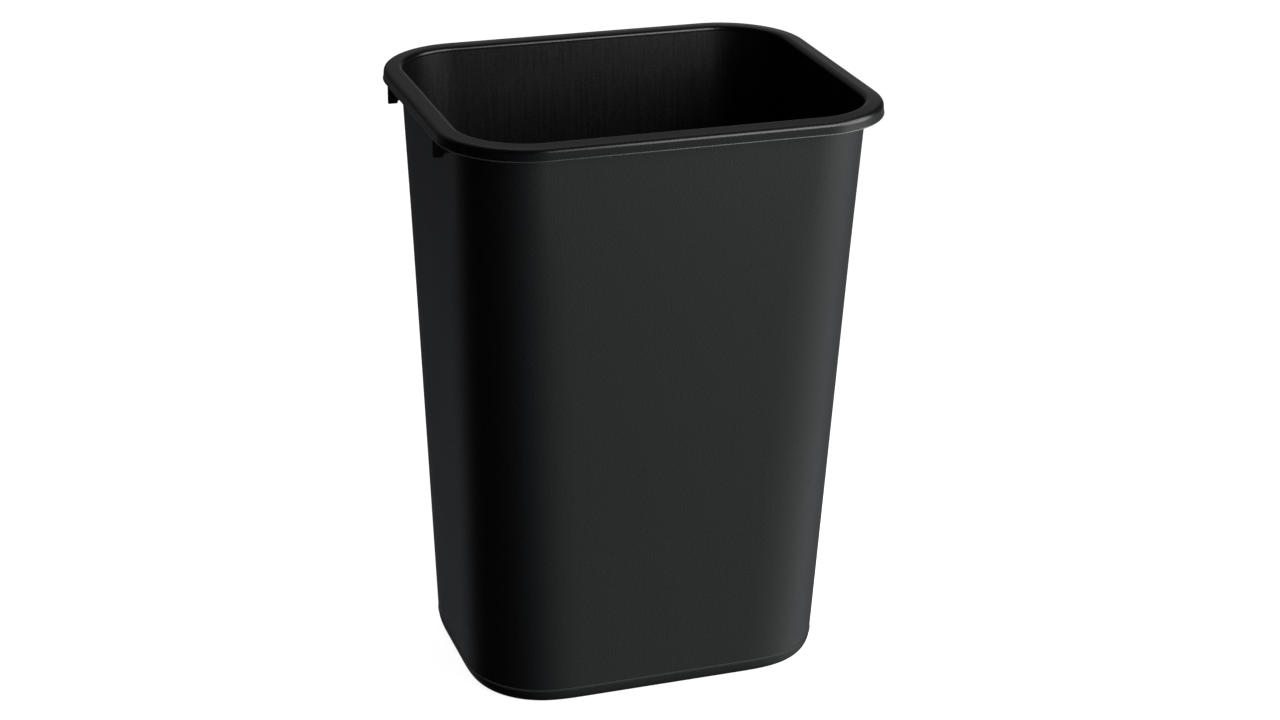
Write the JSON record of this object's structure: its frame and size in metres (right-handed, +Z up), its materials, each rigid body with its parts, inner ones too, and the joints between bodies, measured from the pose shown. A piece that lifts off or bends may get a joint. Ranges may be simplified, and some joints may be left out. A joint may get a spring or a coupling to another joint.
{
  "type": "wastebasket",
  "caption": "Tall rectangular open-topped wastebasket with tapered walls, round corners, a turned-over hollow rim and small stacking lugs under its ends.",
  "frame": {"origin": "centre of the base outline, on the ground", "axes": "+Z up out of the open top, X along the long side, Y across the short side, the front long side at -Y"},
  "size_m": [0.37, 0.302, 0.505],
  "materials": {
    "wall_plastic": "black moulded plastic with a fine even matte grain",
    "rim_plastic": "black moulded plastic, smoother than the walls, satin",
    "base_plastic": "black moulded plastic with a fine matte grain, scuffed where it stands"
  },
  "bodies": {
    "root": {"floor_panel": "base_plastic", "foot_curve": "base_plastic", "front_wall": "wall_plastic", "back_wall": "wall_plastic", "left_wall": "wall_plastic", "right_wall": "wall_plastic", "front_left_corner_wall": "wall_plastic", "front_right_corner_wall": "wall_plastic", "back_left_corner_wall": "wall_plastic", "back_right_corner_wall": "wall_plastic", "front_rim": "rim_plastic", "back_rim": "rim_plastic", "left_rim": "rim_plastic", "right_rim": "rim_plastic", "front_left_corner_rim": "rim_plastic", "front_right_corner_rim": "rim_plastic", "back_left_corner_rim": "rim_plastic", "back_right_corner_rim": "rim_plastic", "front_left_stacking_lug": "rim_plastic", "front_right_stacking_lug": "rim_plastic", "back_left_stacking_lug": "rim_plastic", "back_right_stacking_lug": "rim_plastic"}
  },
  "joints": []
}
